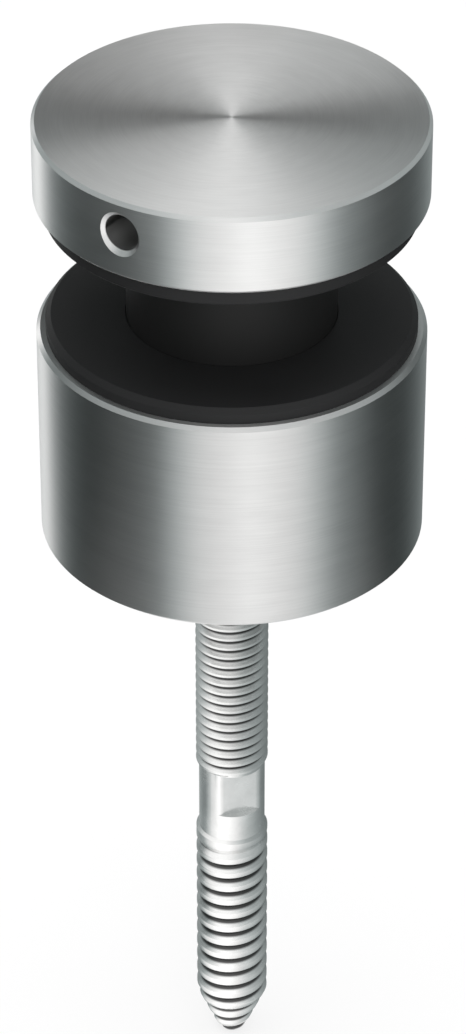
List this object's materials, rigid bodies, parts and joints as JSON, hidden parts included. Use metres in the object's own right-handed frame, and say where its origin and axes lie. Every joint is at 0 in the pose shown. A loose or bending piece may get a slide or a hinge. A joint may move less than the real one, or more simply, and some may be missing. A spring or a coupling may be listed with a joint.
{
  "type": "standoff spacer",
  "caption": "Round stainless point fixing that clamps a drilled glass panel between two rubber gaskets and stands it off a wall on a hanger bolt.",
  "frame": {"origin": "centre of the spacer body's underside, on the common axis", "axes": "+Z along the common axis towards the cap; -Y is the side that the picture faces; +X to its right"},
  "size_m": [0.05, 0.05, 0.1475],
  "materials": {
    "cap_steel": "fine turned satin",
    "body_steel": "satin, brushed round",
    "thread_steel": "bright rolled thread",
    "gasket_rubber": "matt black rubber",
    "bush_nylon": "matt black nylon"
  },
  "bodies": {
    "wall_bolt": {"hanger_bolt": "thread_steel"},
    "seat": {"lower_gasket": "gasket_rubber", "glass_bush": "bush_nylon"},
    "spacer": {"spacer_body": "body_steel"},
    "clamp": {"upper_gasket": "gasket_rubber"},
    "cap_screw": {"cap": "cap_steel", "cap_stud": "thread_steel"}
  },
  "joints": [
    {"name": "spacer_travel", "type": "slide", "parent": "wall_bolt", "child": "seat", "axis": [0, 0, 1], "range_m": [-0.003, 0.004]},
    {"name": "spacer_turn", "type": "hinge", "parent": "seat", "child": "spacer", "pos_m": [0, 0, 0.015], "axis": [0, 0, 1], "range_deg": [-720, 960]},
    {"name": "cap_travel", "type": "slide", "parent": "spacer", "child": "clamp", "axis": [0, 0, 1], "range_m": [-0.005, 0.006]},
    {"name": "cap_turn", "type": "hinge", "parent": "clamp", "child": "cap_screw", "pos_m": [0, 0, 0.055], "axis": [0, 0, 1], "range_deg": [-1200, 1440]}
  ],
  "couplings": [
    {"joint": "spacer_turn", "follows": "spacer_travel", "rad_per_m": 4188.8},
    {"joint": "cap_turn", "follows": "cap_travel", "rad_per_m": 4188.8}
  ]
}
